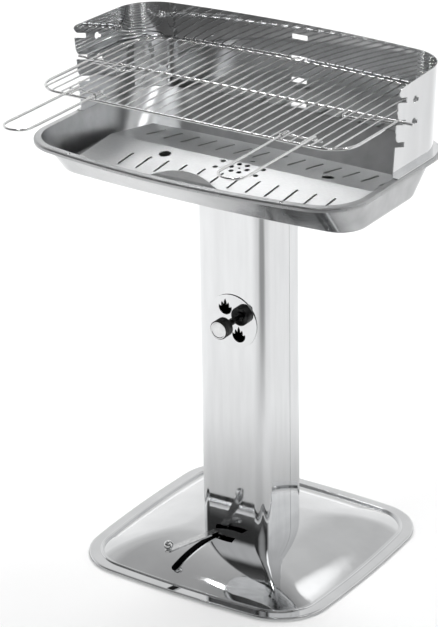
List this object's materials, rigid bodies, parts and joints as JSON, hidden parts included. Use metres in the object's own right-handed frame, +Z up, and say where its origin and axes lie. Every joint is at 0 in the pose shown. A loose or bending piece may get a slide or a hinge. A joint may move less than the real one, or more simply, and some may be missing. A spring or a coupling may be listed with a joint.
{
  "type": "charcoal pedestal grill",
  "caption": "Stainless charcoal grill on a square column: domed foot, ash lever, air damper, rimmed fire bowl with a coal plate, notched wind shield and a wire grate with handles.",
  "frame": {"origin": "middle of the whole footprint at floor level", "axes": "+Z up; -Y towards the front, where the handles are; +X to the right as seen by someone who faces the back, from the front"},
  "size_m": [0.6, 0.5664, 0.843],
  "materials": {
    "mirror_steel": "mirror polished stainless sheet",
    "satin_steel": "satin stainless sheet",
    "bright_wire": "bright plated wire",
    "zinc_hardware": "dull zinc plated",
    "plain_sheet": "plain rolled sheet",
    "bright_fitting": "bright plated",
    "black_plastic": "matt black heat-proof plastic",
    "black_metal": "black lacquered"
  },
  "bodies": {
    "stand": {"base_pan": "mirror_steel", "base_floor": "plain_sheet", "ash_floor": "plain_sheet", "pivot_bolt": "zinc_hardware", "foot_brackets": "zinc_hardware", "foot_bolts": "zinc_hardware", "column_front": "mirror_steel", "column_rear": "mirror_steel", "seam_strips": "zinc_hardware", "head_brackets": "zinc_hardware", "head_bolts": "zinc_hardware", "fire_bowl": "satin_steel", "rim_rivets": "zinc_hardware", "wind_shield": "mirror_steel", "shield_screws": "zinc_hardware"},
    "damper": {"damper_disc": "mirror_steel", "damper_stem": "black_metal", "damper_knob": "black_plastic", "damper_cap": "bright_fitting", "damper_washer": "zinc_hardware", "damper_nut": "zinc_hardware"},
    "lever": {"ash_shutter": "plain_sheet", "lever_arm": "bright_fitting", "lever_rivets": "zinc_hardware", "lever_knob": "bright_fitting"},
    "coal_plate": {"coal_plate": "satin_steel"},
    "grate": {"grate_frame": "bright_wire", "grate_wires": "bright_wire", "grate_mid_bar": "bright_wire", "grate_lugs": "bright_wire", "grate_braces": "bright_wire", "grate_tongue": "bright_wire", "handle_left": "bright_wire", "handle_right": "bright_wire", "handle_cross_wires": "bright_wire", "handle_sleeves": "bright_wire"}
  },
  "joints": [
    {"name": "damper_turn", "type": "hinge", "parent": "stand", "child": "damper", "pos_m": [0.006, 0.00825, 0.416], "axis": [0, -1, 0], "range_deg": [0, 90]},
    {"name": "lever_swing", "type": "hinge", "parent": "stand", "child": "lever", "pos_m": [0, 0.06725, 0.031], "axis": [0, 0, 1], "range_deg": [0, 22]},
    {"name": "coal_plate_lift", "type": "slide", "parent": "stand", "child": "coal_plate", "axis": [0, 0, 1], "range_m": [0, 0.07]},
    {"name": "grate_pull", "type": "slide", "parent": "stand", "child": "grate", "axis": [0, -0.9578, 0.2873], "range_m": [0, 0.15]}
  ]
}
